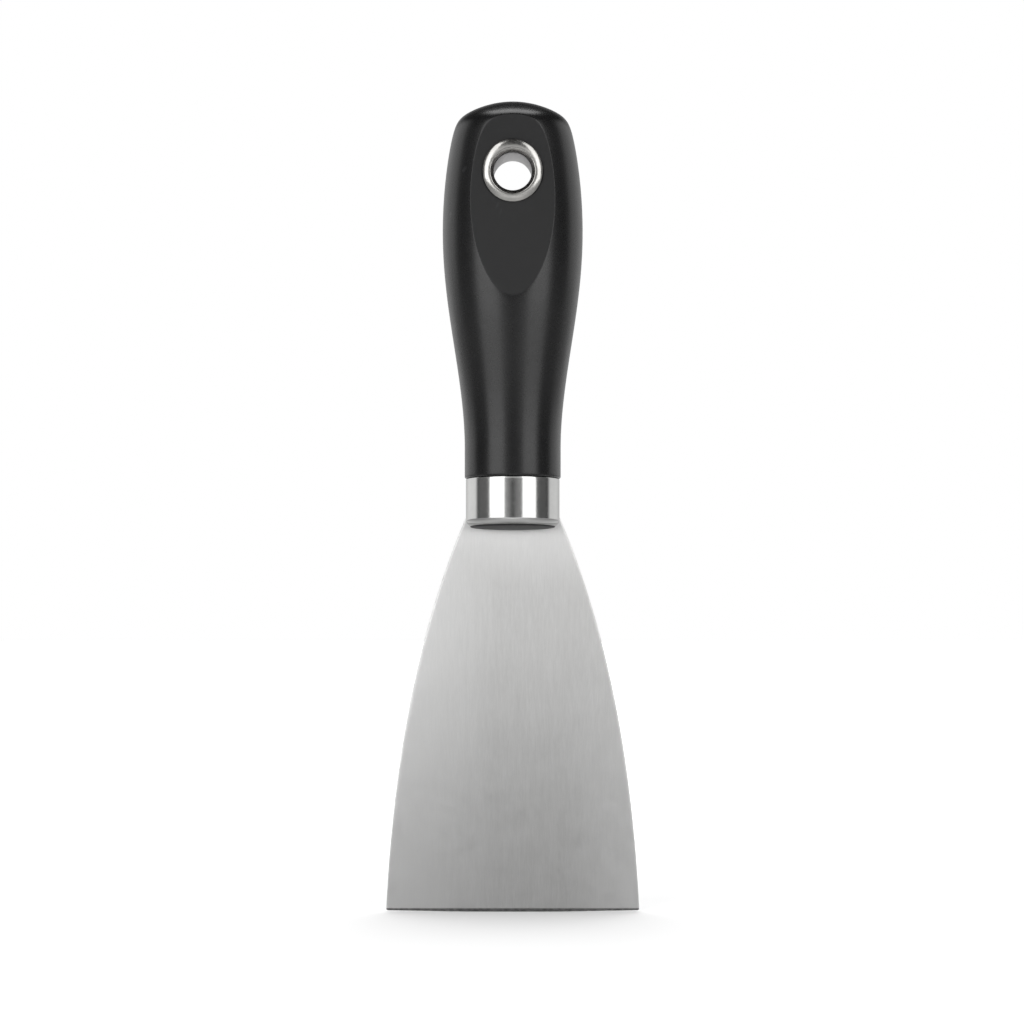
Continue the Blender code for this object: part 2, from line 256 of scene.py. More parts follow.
def upper_outline():
    """Points (x, z) round the upper part: evenly spaced up one flank, over the crown and down the
    other, then along the level where the lower part starts, at the cosines of even angles."""
    drop = (BUTT_TOP - SPLIT_HEIGHT) * np.linspace(0, 1, OUTLINE_SAMPLES) ** 2
    z = BUTT_TOP - drop
    x = half_width(z)
    x[0] = 0
    length = np.concatenate([[0], np.cumsum(np.hypot(np.diff(x), np.diff(z)))])
    even = np.linspace(0, length[-1], OUTLINE_RAYS // 2 + 1)
    side_x, side_z = np.interp(even, length, x), np.interp(even, length, z)
    turn = np.linspace(math.pi, 0, BOTTOM_RAYS + 1)[1:-1]
    all_x = np.concatenate([side_x[::-1], -side_x[1:], side_x[-1] * np.cos(turn)])
    all_z = np.concatenate([side_z[::-1], side_z[1:], np.full(len(turn), SPLIT_HEIGHT)])
    return all_x, all_z


def border_distance(ray_x, ray_z, reach):
    """Distance along each ray at which the ellipse and the flat are equally deep, by bisection."""
    near, far = np.full(len(reach), SEAT_RADIUS), reach.copy()
    for _ in range(BISECTIONS):
        middle = (near + far) / 2
        inside = oval_depth(middle * ray_x, middle * ray_z) > flat_depth(middle * ray_z)
        near, far = np.where(inside, middle, near), np.where(inside, far, middle)
    return near


outline_x, outline_z = upper_outline()
reach = np.hypot(outline_x, outline_z)
ray_x, ray_z = outline_x / reach, outline_z / reach
border = border_distance(ray_x, ray_z, reach * (1 - TINY))
print("thumb flat, mm: top", round(float((border * ray_z).max() * 1000), 2), "tip",
      round(float((border * ray_z).min() * 1000), 2), "half width",
      round(float((border * ray_x).max() * 1000), 2))

# %% The polar net of one face
BORDER_OFFSETS = np.array([-60, -35, -20, -12, -6, -2, 2, 6, 12, 20, 35, 60]) * 1e-5
FLAT_RINGS, BODY_RINGS = 16, 44
SEAT_EDGE = 4e-5
SEAT_RIM_OFFSETS, SEAT_RIM_DROPS = np.array([1e-5, 3e-5, 7e-5]), np.array([5e-5, 1e-5])


def face_net():
    """Rings of one face, from the bore to the outline. Beyond the border, the distance follows a
    sine, which packs the rings where the surface turns away from the eye."""
    seat = [BORE_RADIUS, SEAT_RADIUS - SEAT_EDGE, SEAT_RADIUS, *(SEAT_RADIUS + SEAT_RIM_OFFSETS)]
    rings = [np.full(len(reach), radius) for radius in seat]
    flat_start, flat_end = rings[-1], border + BORDER_OFFSETS[0]
    for share in np.linspace(0, 1, FLAT_RINGS + 1)[1:-1]:
        rings.append(flat_start + (flat_end - flat_start) * share)
    rings += [border + offset for offset in BORDER_OFFSETS]
    body_start = border + BORDER_OFFSETS[-1]
    for share in np.sin(np.linspace(0, math.pi / 2, BODY_RINGS + 1)[1:]):
        rings.append(body_start + (reach - body_start) * share)
    distance = np.array(rings)
    x, z = distance * ray_x, distance * ray_z
    depth = face_depth(x, z)
    depth[:2] = SEAT_FACE
    depth[2] = SEAT_FACE + SEAT_EDGE
    depth[3:5] -= SEAT_RIM_DROPS[:, None]
    on_outline = np.abs(outline_z - SPLIT_HEIGHT) > TINY
    on_outline[[0, OUTLINE_RAYS]] = True
    x[-1], z[-1] = outline_x, outline_z
    depth[-1, on_outline] = 0
    return x, depth, z


net_x, net_depth, net_z = face_net()
print("net of one face:", net_x.shape)

# %% [markdown]
# ## The lower part of the handle
#
# Below the thumb flats every level is a plain ellipse that grows rounder towards the neck, so rows
# of rings do here. Below the foot the rings go on as round ones: the small round of the foot, the
# spigot that the ferrule is pressed on, the curl inside the ferrule's lip, and the domed nose that
# shows in the mouth of the ferrule.

# %% Rings of the lower part, spigot and nose
LOWER_ROWS, WALL_RINGS = 60, 9
FOOT_ROUND = 0.0005
NOSE_RISE = 0.00075
FOOT_STEPS, CURL_STEPS, NOSE_RINGS = 8, 10, 14
lip_centre = (FERRULE_RADIUS - LIP_RADIUS, MOUTH + LIP_RADIUS)


def end_profile():
    """(radius, height) from the foot to the middle of the nose: arcs joined by straight runs, and
    half an ellipse for the dome."""
    curl = LIP_RADIUS - FERRULE_WALL - SEAM
    nose = MOUTH_RADIUS - SEAM
    curl_end = -math.degrees(math.acos((nose - lip_centre[0]) / curl))
    foot = arc((NECK_RADIUS - FOOT_ROUND, FOOT + FOOT_ROUND), FOOT_ROUND, 0, -90, FOOT_STEPS)[1:]
    spigot = [(FERRULE_RADIUS - FERRULE_WALL - SEAM, FOOT)]
    inside = arc(lip_centre, curl, 0, curl_end, CURL_STEPS)
    turn = np.linspace(0, math.pi / 2, NOSE_RINGS + 1)
    dome = np.stack([nose * np.cos(turn), MOUTH - NOSE_RISE * np.sin(turn)], -1)
    return np.vstack([foot, spigot, inside, dome])


def lower_rings():
    """Points of the lower part: (a cos t, -b sin t, height), then the round rings of the end."""
    turn = np.linspace(0, 2 * math.pi, 2 * BOTTOM_RAYS, endpoint=False)
    heights = np.linspace(SPLIT_HEIGHT, FOOT + FOOT_ROUND, LOWER_ROWS + 1)
    profile = end_profile()
    widths = np.concatenate([half_width(heights), profile[:, 0]])
    depths = np.concatenate([half_depth(heights), profile[:, 0]])
    levels = np.concatenate([heights, profile[:, 1]])
    x = widths[:, None] * np.cos(turn)
    y = -depths[:, None] * np.sin(turn)
    return np.stack([x, y, np.broadcast_to(levels[:, None], x.shape)], -1)


def handle_arrays():
    """Front net, back net, bore wall and lower rings, as one list of points and one of quads."""
    rows, columns = net_x.shape
    front = np.stack([net_x, -net_depth, net_z], -1).reshape(-1, 3)
    back = front * [1, -1, 1]
    wall_y = np.linspace(-SEAT_FACE, SEAT_FACE, WALL_RINGS)[:, None]
    wall = np.stack(np.broadcast_arrays(net_x[0], wall_y, net_z[0]), -1).reshape(-1, 3)
    lower = lower_rings()
    parts, quads, start = [], [], 0
    for points, (count, width) in ((front, (rows, columns)), (back, (rows, columns)),
                                   (wall, (WALL_RINGS, columns)),
                                   (lower.reshape(-1, 3), lower.shape[:2])):
        parts.append(points)
        quads.append(grid_quads(count, width, start))
        start += len(points)
    return np.vstack(parts), np.vstack(quads)


handle_mesh = mesh_from_arrays("handle_moulding", *handle_arrays())
handle_piece = add_piece("handle_moulding", handle_mesh, "handle")


def mark_thumb_flats(mesh):
    """Stores for each point how far it lies on a thumb flat: 1 where the ellipse would stand out
    over the flat by more than half the mask's width, 0 where it lies deeper by as much."""
    points = np.empty(len(mesh.vertices) * 3)
    mesh.vertices.foreach_get("co", points)
    x, _, z = points.reshape(-1, 3).T
    stands_out = oval_depth(x, z) - flat_depth(z)
    share = np.clip(0.5 + stands_out / BORDER_MASK_WIDTH, 0, 1) * (z > SPLIT_HEIGHT)
    mesh.attributes.new("thumb_flat", "FLOAT", "POINT").data.foreach_set("value", share)


mark_thumb_flats(handle_mesh)

# %% [markdown]
# ## The hanging eyelet
#
# The eyelet is a thin plated tube that lines the hole, with both ends rolled over into a bead. A
# cross-section of it, with a bead at each end and a straight tube between, is turned once round the
# bore. Turning suits it because the real one is formed by a round tool too. Towards the hole the
# bead is a cone, and outwards a low dome whose rim is rolled under. It is a little taller than
# wide, so in the end its upper and lower halves are drawn away from the bore by a small share.

# %% Turn the eyelet
BORE = 0.00455
CREST = 0.00538
FUNNEL_DEPTH = 0.00105
DOME_TILT = math.radians(37)
ROLL_RADIUS = 0.00055
EYELET_SIDES = 224
CONE_STEPS, DOME_STEPS, ROLL_STEPS, INNER_RINGS = 8, 16, 18, 9
RISE_OF_UPPER_HALF, DROP_OF_LOWER_HALF = 0.095, 0.030


def eyelet_profile():
    """(radius, along the bore): a cone from the bore to the crest, a low dome that falls on an arc
    to a slope of 37 degrees, the rim rolled under on a small arc, and the outside of the tube."""
    out = np.linspace(0, 1, CONE_STEPS + 1)[:-1]
    cone = np.stack([BORE + (CREST - BORE) * out, -eyelet_high.y + FUNNEL_DEPTH * (1 - out)], -1)
    dome_end = eyelet_high.x - ROLL_RADIUS * (1 - math.sin(DOME_TILT))
    dome_radius = (dome_end - CREST) / math.sin(DOME_TILT)
    tilt = np.linspace(0, DOME_TILT, DOME_STEPS + 1)
    dome = np.stack([CREST + dome_radius * np.sin(tilt),
                     -eyelet_high.y + dome_radius * (1 - np.cos(tilt))], -1)
    roll_centre = dome[-1] - ROLL_RADIUS * np.array([math.sin(DOME_TILT), -math.cos(DOME_TILT)])
    turn = np.linspace(DOME_TILT, math.pi, ROLL_STEPS + 1)[1:]
    roll = roll_centre + ROLL_RADIUS * np.stack([np.sin(turn), -np.cos(turn)], -1)
    tube = np.array([(TUBE_RADIUS, roll[-1, 1]), (TUBE_RADIUS, -SEAT_FACE / 2)])
    outer = np.vstack([cone, dome, roll, tube])
    back = outer[::-1] * [1, -1]
    mouth = eyelet_high.y - FUNNEL_DEPTH
    inner_y = np.linspace(mouth, -mouth, INNER_RINGS + 2)[1:-1]
    inner = np.stack([np.full(INNER_RINGS, BORE), inner_y], -1)
    return np.vstack([outer, back, inner])


def drawn_oval(points):
    """The turned bead made a little taller than wide: z grows by a share that rises from 0 at the
    bore to 1 at the rim, times one rate above the bore's centre and a smaller one below it."""
    x, y, z = points.T
    share = np.clip((np.hypot(x, z) - TUBE_RADIUS) / (eyelet_high.x - TUBE_RADIUS), 0, 1)
    rate = np.where(z > 0, RISE_OF_UPPER_HALF, DROP_OF_LOWER_HALF)
    return np.stack([x, y, z * (1 + rate * share)], -1)


eyelet_points, eyelet_quads = turned(eyelet_profile(), "Y", EYELET_SIDES)
eyelet_mesh = mesh_from_arrays("eyelet_tube", drawn_oval(eyelet_points), eyelet_quads)
eyelet_piece = add_piece("eyelet_tube", eyelet_mesh, "hanging_eyelet")

# %% [markdown]
# ## The ferrule
#
# The ferrule is a drawn steel ring. Its upper edge is broken so that it doesn't cut the hand, and
# its lower end is curled in to a rounded lip. The profile is turned, and then a thin bar cuts the
# slit on each side in which a shoulder of the blade sits. The cut is applied at once, so the mesh
# is finished and its new edges can be marked sharp.

# %% Turn the ferrule and cut its slits
FERRULE_SIDES = 256
FERRULE_TOP = FOOT - SEAM
EDGE_BREAK = 0.00025
TOP_STEPS, WALL_STEPS, LIP_STEPS = 5, 19, 18
SLIT_HALF_THICKNESS = ROOT_THICKNESS / 2 + SEAM
CUT_MARGIN = 0.001


def ferrule_profile():
    """(radius, height): up the inner wall, round the top edge, down the outer wall, and round the
    lip on two arcs with one centre."""
    inner_curl = LIP_RADIUS - FERRULE_WALL
    outer_end = -math.degrees(math.acos((MOUTH_RADIUS - lip_centre[0]) / LIP_RADIUS))
    inner_end = -math.degrees(math.acos((MOUTH_RADIUS - lip_centre[0]) / inner_curl))
    inner_wall = [(FERRULE_RADIUS - FERRULE_WALL, FERRULE_TOP)]
    break_centre = (FERRULE_RADIUS - EDGE_BREAK, FERRULE_TOP - EDGE_BREAK)
    top = arc(break_centre, EDGE_BREAK, 90, 0, TOP_STEPS)
    wall_z = np.linspace(break_centre[1], lip_centre[1], WALL_STEPS + 1)[1:-1]
    wall = np.stack([np.full(len(wall_z), FERRULE_RADIUS), wall_z], -1)
    lip = arc(lip_centre, LIP_RADIUS, 0, outer_end, LIP_STEPS)
    curl = arc(lip_centre, inner_curl, inner_end, 0, CURL_STEPS)
    return np.vstack([inner_wall, top, wall, lip, curl])


def box_mesh(name, low, high):
    """The eight corners and six faces between two opposite corners."""
    steps = np.array([(x, y, z) for x in (0, 1) for y in (0, 1) for z in (0, 1)])
    corners = np.array(low) + steps * (np.array(high) - np.array(low))
    faces = [(0, 1, 3, 2), (4, 6, 7, 5), (0, 4, 5, 1), (2, 3, 7, 6), (0, 2, 6, 4), (1, 5, 7, 3)]
    return mesh_from_arrays(name, corners, np.array(faces))


def cut_away(piece, cutter_mesh):
    """Cuts the cutter out of the piece, applies the cut, and marks the sharp edges."""
    cutter = bpy.data.objects.new("cutter", cutter_mesh)
    bpy.context.scene.collection.objects.link(cutter)
    modifier = piece.modifiers.new("cut", "BOOLEAN")
    modifier.operation, modifier.solver, modifier.object = "DIFFERENCE", "EXACT", cutter
    evaluated = piece.evaluated_get(bpy.context.evaluated_depsgraph_get())
    finished = bpy.data.meshes.new_from_object(evaluated)
    piece.modifiers.clear()
    piece.data = finished
    finished.set_sharp_from_angle(angle=SHARP_ANGLE)
    bpy.data.objects.remove(cutter, do_unlink=True)


ferrule_mesh = mesh_from_arrays("ferrule_ring", *turned(ferrule_profile(), "Z", FERRULE_SIDES))
ferrule_piece = add_piece("ferrule_ring", ferrule_mesh, "ferrule")
slit_reach = FERRULE_RADIUS + CUT_MARGIN
slit_low = (-slit_reach, -SLIT_HALF_THICKNESS, MOUTH - CUT_MARGIN)
slit_high = (slit_reach, SLIT_HALF_THICKNESS, SHOULDER + SEAM)
cut_away(ferrule_piece, box_mesh("slit", slit_low, slit_high))

# %% [markdown]
# ## The blade
#
# The blade is one sheet of spring steel, ground thinner towards the edge. It is a row of
# cross-sections, each a thin rectangle with rounded corners, whose width, thickness and corner
# round are curves of the height. Its flanks flare out of the ferrule at 23 degrees and end almost
# straight, and the last half millimetre is the small bevel of the working edge.

# %% Curves of the blade
SHOULDER_HALF_WIDTH = FERRULE_RADIUS
EDGE_HALF_WIDTH = 0.02998
FLARE_AT_ROOT, FLARE_AT_EDGE = math.tan(math.radians(23.2)), math.tan(math.radians(2.4))
EDGE_THICKNESS, LAND = 0.0007, 0.0003
SIDE_ROUND = 0.00025
GRIND_START = MOUTH - 0.0020
EDGE_BOW, BEVEL_HEIGHT, CORNER_RADIUS = 0.0003, 0.0004, 0.0005
BEVEL_TOP = EDGE + EDGE_BOW + BEVEL_HEIGHT
TANG_HALF_WIDTH, TANG_TIP_ROUND, SHOULDER_FILLET = 0.0070, 0.0020, 0.0020
ROUND_STEPS, SHANK_STEPS, SEAT_STEPS, BODY_STEPS = 8, 25, 9, 109
ROW_OVER_BEVEL = 0.00003


def blade_half_width(z):
    """Half width below the shoulder: a quadratic curve whose end slopes are the two flares. Its
    middle control point is where the end tangents cross, and its share comes from the height."""
    length = SHOULDER - EDGE
    control = EDGE_HALF_WIDTH - FLARE_AT_EDGE * length - SHOULDER_HALF_WIDTH
    control /= FLARE_AT_ROOT - FLARE_AT_EDGE
    control_width = SHOULDER_HALF_WIDTH + FLARE_AT_ROOT * control
    down = SHOULDER - z
    share = down / (control + np.sqrt(control**2 + (length - 2 * control) * down))
    rest = 1 - share
    first, middle, last = rest**2, 2 * share * rest, share**2
    return first * SHOULDER_HALF_WIDTH + middle * control_width + last * EDGE_HALF_WIDTH


def blade_half_thickness(z):
    """Half thickness: even down to the start of the grind, then falling evenly to the edge."""
    ground = np.clip((GRIND_START - z) / (GRIND_START - EDGE), 0, 1)
    return (ROOT_THICKNESS + (EDGE_THICKNESS - ROOT_THICKNESS) * ground) / 2


def sections(width, thickness, height, bow=0.0):
    """Stacks the numbers of cross-sections, each number a row of values or one for all."""
    return np.stack(np.broadcast_arrays(width, thickness, height, bow), -1)


def blade_levels():
    """Half width, half thickness, height and bow of each cross-section, from the tang down."""
    quarter = np.radians(np.linspace(90, 0, ROUND_STEPS + 1))
    tip = sections(TANG_HALF_WIDTH - TANG_TIP_ROUND * (1 - np.cos(quarter)), ROOT_THICKNESS / 2,
                   TANG_TIP - TANG_TIP_ROUND * (1 - np.sin(quarter)))
    shank_z = np.linspace(tip[-1, 2], SHOULDER + SHOULDER_FILLET, SHANK_STEPS + 1)[1:-1]
    shank = sections(TANG_HALF_WIDTH, ROOT_THICKNESS / 2, shank_z)
    overhang = SHOULDER_HALF_WIDTH - TANG_HALF_WIDTH
    fillet = sections(SHOULDER_HALF_WIDTH - overhang * np.sin(quarter), ROOT_THICKNESS / 2,
                      SHOULDER + SHOULDER_FILLET * (1 - np.cos(quarter)))
    seat_z = np.linspace(SHOULDER, GRIND_START, SEAT_STEPS + 1)[1:]
    ground_z = np.linspace(GRIND_START, BEVEL_TOP + ROW_OVER_BEVEL, BODY_STEPS + 1)[1:]
    body_z = np.concatenate([seat_z, ground_z, [BEVEL_TOP]])
    body = sections(blade_half_width(body_z), blade_half_thickness(body_z), body_z)
    share = np.linspace(0, 1, ROUND_STEPS + 1)[1:]
    bevel_z = BEVEL_TOP - BEVEL_HEIGHT * share
    full = blade_half_thickness(bevel_z)
    bevel = sections(blade_half_width(bevel_z) - CORNER_RADIUS * (1 - np.sqrt(1 - share**2)),
                     full + (LAND / 2 - full) * share, bevel_z, EDGE_BOW * share)
    return tip, shank, fillet, body, bevel


# %% Build the blade from its cross-sections
FACE_COLUMNS = 72
SIDE_STEPS = 4
LARGEST_ROUND = 0.8


def section_shape():
    """One cross-section in four numbers for each point: the share of the straight half width, the
    cosine of the corner, the side of the sheet, and the sine of the corner."""
    shares = np.linspace(-1, 1, FACE_COLUMNS + 1)
    low_turn = np.radians(np.linspace(-90, 0, SIDE_STEPS + 1))[1:]
    high_turn = -low_turn[::-1]
    ones = np.ones(FACE_COLUMNS + 1)
    side = np.concatenate([np.full(SIDE_STEPS, -1), np.full(SIDE_STEPS, 1)])
    turn = np.concatenate([low_turn, high_turn])
    right = np.stack([np.ones(2 * SIDE_STEPS), np.cos(turn), side, np.sin(turn)], -1)
    front = np.stack([shares, 0 * ones, -ones, -ones], -1)
    return np.vstack([front, right, front[::-1] * [1, 1, -1, -1], right * [-1, -1, -1, -1]])


def blade_arrays(levels):
    """Points (share (w - r) + r cos, side (h - r) + r sin, height - bow (1 - share^2)), where w and
    h are the half width and thickness and r is the corner round. Both ends close on a line."""
    width, thick, height, bow = np.vstack(levels).T[:, :, None]
    corner = np.minimum(SIDE_ROUND, LARGEST_ROUND * thick)
    share, cosine, side, sine = section_shape().T[:, None, :]
    x = share * (width - corner) + cosine * corner
    y = side * (thick - corner) + sine * corner
    z = height - bow * (1 - share**2)
    z = np.broadcast_to(z, x.shape)
    points = np.stack([x, y, z], -1)
    flat_ends = points[[0, -1]] * [1, 0, 1]
    points = np.concatenate([flat_ends[:1], points, flat_ends[1:]])
    return points.reshape(-1, 3), grid_quads(*points.shape[:2])


blade_mesh = mesh_from_arrays("blade_sheet", *blade_arrays(blade_levels()))
blade_piece = add_piece("blade_sheet", blade_mesh, "blade")
blade_mesh.set_sharp_from_angle(angle=SHARP_ANGLE)

# %% [markdown]
# ## Shared effects
#
# Metal and plastic both show marks in layers: broad clouds where a hand or a cloth has passed, fine
# streaks where a wheel has cut, and bare edges where the piece has rubbed. Each layer is a node
# group with named sockets, built once and set to its own scale in every finish.

# %% Helpers for node trees
def add_node(tree, kind, **settings):
    """Adds a node and sets its options by name."""
    node = tree.nodes.new(kind)
    for key, value in settings.items():
        setattr(node, key, value)
    return node


def wire(tree, source, target):
    """Links an output socket to an input socket, or writes a plain value into the input."""
    if isinstance(source, bpy.types.NodeSocket):
        tree.links.new(source, target)
    else:
        target.default_value = source


def math_node(tree, operation, *values, clamp=False):
    """A Math node; each value is a socket or a number."""
    node = add_node(tree, "ShaderNodeMath", operation=operation, use_clamp=clamp)
    for socket, value in zip(node.inputs, values):
        wire(tree, value, socket)
    return node.outputs[0]


def times(tree, first, second):
    """The product of two values, each a socket or a number."""
    return math_node(tree, "MULTIPLY", first, second)


def separate(tree, vector):
    """The three coordinates of a vector."""
    node = add_node(tree, "ShaderNodeSeparateXYZ")
    wire(tree, vector, node.inputs[0])
    return node.outputs


def map_range(tree, value, low, high, new_low=0.0, new_high=1.0):
    """A Map Range node from low..high to new_low..new_high, held at its ends."""
    node = add_node(tree, "ShaderNodeMapRange", clamp=True, interpolation_type="LINEAR")
    for socket, number in zip(node.inputs, (value, low, high, new_low, new_high)):
        wire(tree, number, socket)
    return node.outputs[0]


def noise(tree, vector, scale, detail=2.0, roughness=0.5):
    """A noise pattern of 0..1 on the given coordinates."""
    node = add_node(tree, "ShaderNodeTexNoise", noise_dimensions="3D")
    for socket, value in (("Vector", vector), ("Scale", scale), ("Detail", detail),
                          ("Roughness", roughness)):
        wire(tree, value, node.inputs[socket])
    return node.outputs["Fac"]


def new_group(name, inputs, outputs):
    """A node group with a Vector and named numbers as inputs; returns it and its two end nodes."""
    group = bpy.data.node_groups.new(name, "ShaderNodeTree")
    group.interface.new_socket("Vector", in_out="INPUT", socket_type="NodeSocketVector")
    for label, value in inputs.items():
        socket = group.interface.new_socket(label, in_out="INPUT", socket_type="NodeSocketFloat")
        socket.default_value = value
    for label in outputs:
        group.interface.new_socket(label, in_out="OUTPUT", socket_type="NodeSocketFloat")
    return group, add_node(group, "NodeGroupInput"), add_node(group, "NodeGroupOutput")


def place_group(tree, group, **values):
    """Places a group in a material; each keyword names a socket, with _ for a space."""
    node = add_node(tree, "ShaderNodeGroup", node_tree=group)
    for key, value in values.items():
        wire(tree, value, node.inputs[key.replace("_", " ")])
    return node.outputs


# %% Group: clouds of handling
def build_clouds():
    """Two sizes of noise, the fine one about a fifth of the broad one, each spread to 0..1."""
    group, start, end = new_group("handling_clouds", {"Scale": 60.0}, ["Broad", "Fine"])
    vector, scale = start.outputs["Vector"], start.outputs["Scale"]
    broad = noise(group, vector, scale, detail=3.0, roughness=0.55)
    fine = noise(group, vector, times(group, scale, 5.3), detail=4.0, roughness=0.6)
    wire(group, map_range(group, broad, 0.32, 0.68), end.inputs["Broad"])
    wire(group, map_range(group, fine, 0.30, 0.70), end.inputs["Fine"])
    return group


clouds_group = build_clouds()
print("node group:", clouds_group.name)

# %% Group: streaks of a brush or a lathe tool
def build_streaks():
    """Noise on coordinates that are stretched by Along and squeezed by Across, at two widths."""
    group, start, end = new_group("brush_streaks", {"Across": 1500.0, "Along": 60.0},
                                  ["Streaks", "Hairs"])
    across, along = start.outputs["Across"], start.outputs["Along"]
    stretched = add_node(group, "ShaderNodeCombineXYZ")
    for part, rate, target in zip(separate(group, start.outputs["Vector"]), (across, across, along),
                                  stretched.inputs):
        wire(group, times(group, part, rate), target)
    wide = noise(group, stretched.outputs[0], 1.0, detail=3.0, roughness=0.6)
    thin = noise(group, stretched.outputs[0], 3.1, detail=2.0, roughness=0.7)
    wire(group, map_range(group, wide, 0.28, 0.72), end.inputs["Streaks"])
    wire(group, map_range(group, thin, 0.28, 0.72), end.inputs["Hairs"])
    return group


streaks_group = build_streaks()
print("node group:", streaks_group.name)

# %% Group: wear along the edges
def build_edge_wear():
    """How far the surface stands out at a convex edge, broken up by noise so that it isn't even."""
    group, start, end = new_group("edge_wear", {"Start": 0.52, "Full": 0.60, "Breakup": 900.0},
                                  ["Wear"])
    pointiness = add_node(group, "ShaderNodeNewGeometry").outputs["Pointiness"]
    edge = map_range(group, pointiness, start.outputs["Start"], start.outputs["Full"])
    patches = noise(group, start.outputs["Vector"], start.outputs["Breakup"], detail=3.0)
    broken = map_range(group, patches, 0.35, 0.65, 0.25, 1.0)
    wire(group, math_node(group, "MULTIPLY", edge, broken, clamp=True), end.inputs["Wear"])
    return group


edge_wear_group = build_edge_wear()
print("node group:", edge_wear_group.name)

# %% [markdown]
# ## The finishes
#
# Each finish starts the same way: a Principled shader, whose plain values are set on its own
# sockets, and Object coordinates in metres, so a scale of 1000 means detail of a millimetre. A
# small helper makes that start, and another blends two colours by a mask.

# %% Start of a finish
def start_finish(name, **plain):
    """A material whose shader has its plain values; returns it, tree, shader and coordinates."""
    material = bpy.data.materials.new(name)
    material.use_nodes = True
    tree = material.node_tree
    shader = tree.nodes["Principled BSDF"]
    for key, value in plain.items():
        shader.inputs[key.replace("_", " ")].default_value = value
    coordinates = add_node(tree, "ShaderNodeTexCoord").outputs["Object"]
    return material, tree, shader, coordinates


def blend_colours(tree, mask, first, second):
    """Mixes two colours, each a socket or three numbers, by a mask of 0..1."""
    node = add_node(tree, "ShaderNodeMix", data_type="RGBA")
    wire(tree, mask, node.inputs["Factor"])
    for socket, colour in ((node.inputs[6], first), (node.inputs[7], second)):
        wire(tree, colour if isinstance(colour, bpy.types.NodeSocket) else (*colour, 1.0), socket)
    return node.outputs[2]


def relief(tree, height, distance, normal=None, strength=1.0):
    """A Bump node: height 0..1 times a distance in metres."""
    node = add_node(tree, "ShaderNodeBump")
    for label, value in (("Strength", strength), ("Distance", distance), ("Height", height)):
        wire(tree, value, node.inputs[label])
    if normal is not None:
        wire(tree, normal, node.inputs["Normal"])
    return node.outputs[0]


def dress(piece, material):
    """Puts the material on the piece."""
    piece.data.materials.clear()
    piece.data.materials.append(material)
    print(f"{piece.name}: {material.name}, {len(material.node_tree.nodes)} nodes")


# %% [markdown]
# ### Black satin plastic
#
# The handle is a glossy moulding that has gone satin: very dark, a little uneven in gloss where
# hands have polished it, with the faint skin that a worn mould leaves, and edges that are paler.
# The thumb flats are greyer and more matt, and so is the nose in the ferrule, which nothing rubs.

# %% Finish of the handle
MATT_NOSE = (MOUTH + 0.001, MOUTH + 0.002, 0.22, 0.0)   # from, to, and its values at both


def black_satin_plastic():
    material, tree, shader, place = start_finish("black_satin_plastic", Metallic=0.0, IOR=1.5)
    clouds = place_group(tree, clouds_group, Vector=place, Scale=70.0)
    edges = place_group(tree, edge_wear_group, Vector=place, Start=0.54, Full=0.60, Breakup=700.0)
    thumb = add_node(tree, "ShaderNodeAttribute", attribute_name="thumb_flat").outputs["Fac"]
    black = blend_colours(tree, clouds["Broad"], (0.0035, 0.0035, 0.0038), (0.0060, 0.0060, 0.0064))
    grained = blend_colours(tree, times(tree, thumb, 0.5), black, (0.016, 0.016, 0.0165))
    worn = blend_colours(tree, edges["Wear"], grained, (0.020, 0.020, 0.021))
    wire(tree, worn, shader.inputs["Base Color"])
    smooth = map_range(tree, clouds["Fine"], 0.0, 1.0, 0.255, 0.285)
    nose = map_range(tree, separate(tree, place)[2], *MATT_NOSE)
    matt = math_node(tree, "ADD", times(tree, thumb, 0.08), nose)
    wire(tree, math_node(tree, "ADD", smooth, matt), shader.inputs["Roughness"])
    skin = noise(tree, place, 3800.0, detail=3.0, roughness=0.6)
    waves = relief(tree, clouds["Broad"], 0.00004, strength=0.5)
    wire(tree, relief(tree, skin, 0.000012, waves, strength=0.6), shader.inputs["Normal"])
    return material


dress(handle_piece, black_satin_plastic())

# %% [markdown]
# ### Brushed blade steel
#
# The sheet is ground lengthwise, so it shines sideways: the reflection of a light is drawn out
# across the grain. Anisotropy on the shader gives that, with a tangent that follows the blade, and
# the streaks change colour, gloss and relief together, as real scratches do. A painted sheen makes
# it paler towards its sides and its top, and the bevel carries a painted shade, broken up by a few
# brighter spots.

# %% Finish of the blade
# Each mask: from, to, and its values at both
# Painted sheen: the base colour turns paler towards the left side, the lower right side and the top.
PAINTED_SHEEN_LEFT, PAINTED_SHEEN_RIGHT = (-0.003, -0.030, 0.0, 0.95), (0.012, 0.030, 0.0, 0.9)
PAINTED_SHEEN_LOW, PAINTED_SHEEN_TOP = (-0.110, -0.165, 0.0, 1.0), (-0.098, -0.084, 0.0, 0.6)
# Painted shade: a dark base colour on the bevel of the working edge.
PAINTED_EDGE_SHADE = (EDGE + 0.00068, EDGE + 0.00090, 1.0, 0.0)


